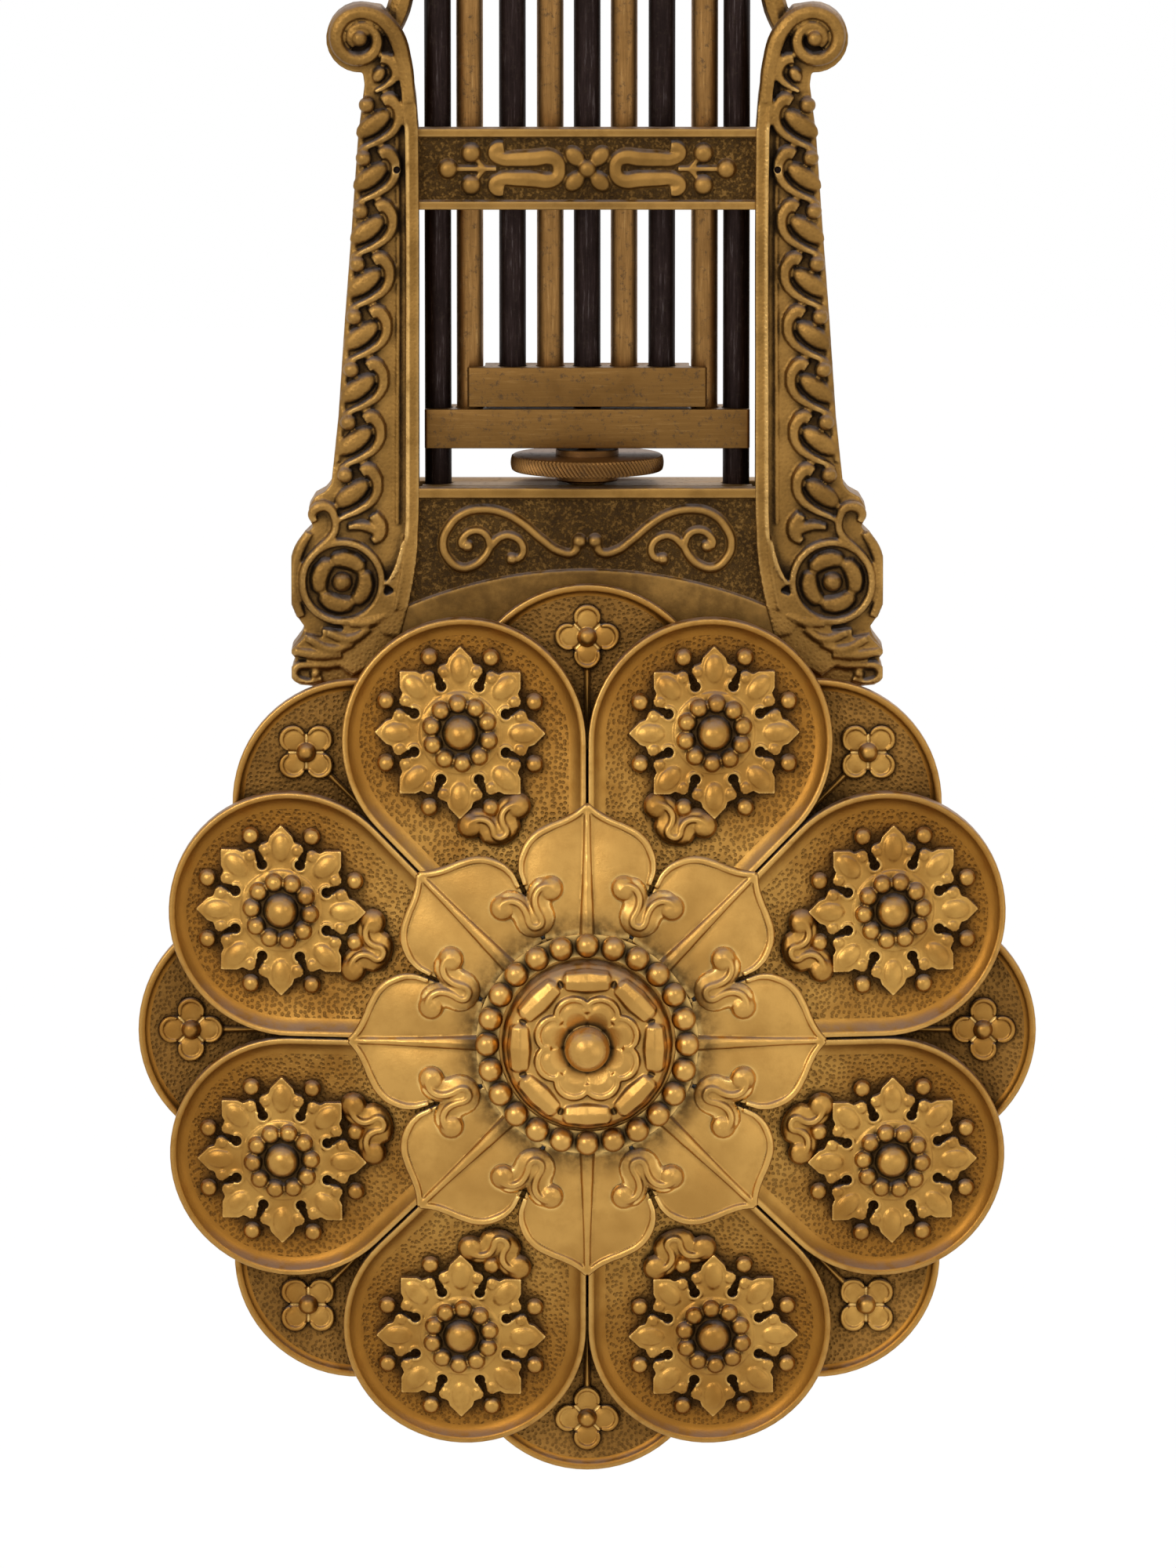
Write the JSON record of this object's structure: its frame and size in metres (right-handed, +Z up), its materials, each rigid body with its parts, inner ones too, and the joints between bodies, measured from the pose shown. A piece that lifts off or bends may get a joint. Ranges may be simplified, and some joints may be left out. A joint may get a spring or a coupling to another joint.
{
  "type": "gridiron pendulum",
  "caption": "Compensated pendulum of a portico clock: suspension springs, steel and brass rod grid, cast lyre frame, knurled rating nut and petalled gilt rosette bob.",
  "frame": {"origin": "middle of the upper suspension pin, which the clock's bracket holds", "axes": "+Z up along the pendulum, +X to the viewer's right, the decorated front faces -Y"},
  "size_m": [0.11, 0.0394, 0.317],
  "materials": {
    "suspension_brass": "satin",
    "pin_steel": "polished",
    "spring_steel": "blued",
    "bar_brass": "matte with brown spots",
    "rod_brass": "satin with dark edges",
    "rod_steel": "browned",
    "nut_brass": "matte, knurled rim",
    "frame_bronze": "dull gilding with dark recesses",
    "block_brass": "matte",
    "screw_steel": "satin",
    "back_gilt": "fire gilt, dark grime",
    "petal_gilt": "fire gilt, stippled ground",
    "rosette_gilt": "fire gilt",
    "centre_gilt": "fire gilt, rubbed bright",
    "cover_brass": "turned brass",
    "weight_lead": "cast lead"
  },
  "bodies": {
    "suspension": {"upper_chop_left": "suspension_brass", "upper_chop_right": "suspension_brass", "upper_pin": "pin_steel", "upper_rivet_front": "suspension_brass", "upper_rivet_rear": "suspension_brass", "spring_front": "spring_steel", "spring_rear": "spring_steel"},
    "suspension_lower": {"lower_chop_left": "suspension_brass", "lower_chop_right": "suspension_brass", "lower_pin": "pin_steel", "lower_rivet_front": "suspension_brass", "lower_rivet_rear": "suspension_brass"},
    "gridiron": {"pendulum_hook": "bar_brass", "top_bar_outer": "bar_brass", "top_bar_middle": "bar_brass", "top_bar_inner": "bar_brass", "steel_rod_centre": "rod_steel", "brass_rod_inner_left": "rod_brass", "brass_rod_inner_right": "rod_brass", "steel_rod_inner_left": "rod_steel", "steel_rod_inner_right": "rod_steel", "brass_rod_outer_left": "rod_brass", "brass_rod_outer_right": "rod_brass", "steel_rod_outer_left": "rod_steel", "steel_rod_outer_right": "rod_steel", "bottom_bar_inner": "bar_brass", "bottom_bar_outer": "bar_brass"},
    "bob": {"lyre_arm_left": "frame_bronze", "lyre_arm_right": "frame_bronze", "cross_bar": "frame_bronze", "base_panel": "frame_bronze", "guide_block": "block_brass", "dowel_left": "screw_steel", "dowel_right": "screw_steel", "arm_screw_left": "screw_steel", "arm_screw_right": "screw_steel", "panel_screw_left": "screw_steel", "panel_screw_right": "screw_steel", "bob_screw_left": "screw_steel", "bob_screw_right": "screw_steel", "back_plate": "back_gilt", "front_plate": "petal_gilt", "rosette_1": "rosette_gilt", "rosette_2": "rosette_gilt", "rosette_3": "rosette_gilt", "rosette_4": "rosette_gilt", "rosette_5": "rosette_gilt", "rosette_6": "rosette_gilt", "rosette_7": "rosette_gilt", "rosette_8": "rosette_gilt", "calyx": "centre_gilt", "bead_ring": "centre_gilt", "centre_boss": "centre_gilt", "through_bolt": "screw_steel", "lead_weight": "weight_lead", "rear_cover": "cover_brass", "rear_nut": "screw_steel"},
    "rating_nut": {"rating_nut": "nut_brass", "keeper_collar": "nut_brass"}
  },
  "joints": [
    {"name": "pendulum_swing", "type": "hinge", "parent": "suspension", "child": "suspension_lower", "pos_m": [0, 0, -0.008], "axis": [0, 1, 0], "range_deg": [-4, 4], "deforming": ["spring_front", "spring_rear"]},
    {"name": "hook_pivot", "type": "hinge", "parent": "suspension_lower", "child": "gridiron", "pos_m": [0, 0, -0.016], "axis": [1, 0, 0], "range_deg": [-10, 10]},
    {"name": "bob_regulation", "type": "slide", "parent": "gridiron", "child": "bob", "axis": [0, 0, 1], "range_m": [-0.003, 0]},
    {"name": "rating_nut_turn", "type": "hinge", "parent": "bob", "child": "rating_nut", "pos_m": [0, 0, -0.1886], "axis": [0, 0, 1], "range_deg": [-2165, 5]}
  ],
  "couplings": [
    {"joint": "rating_nut_turn", "follows": "bob_regulation", "rad_per_m": 12566}
  ]
}
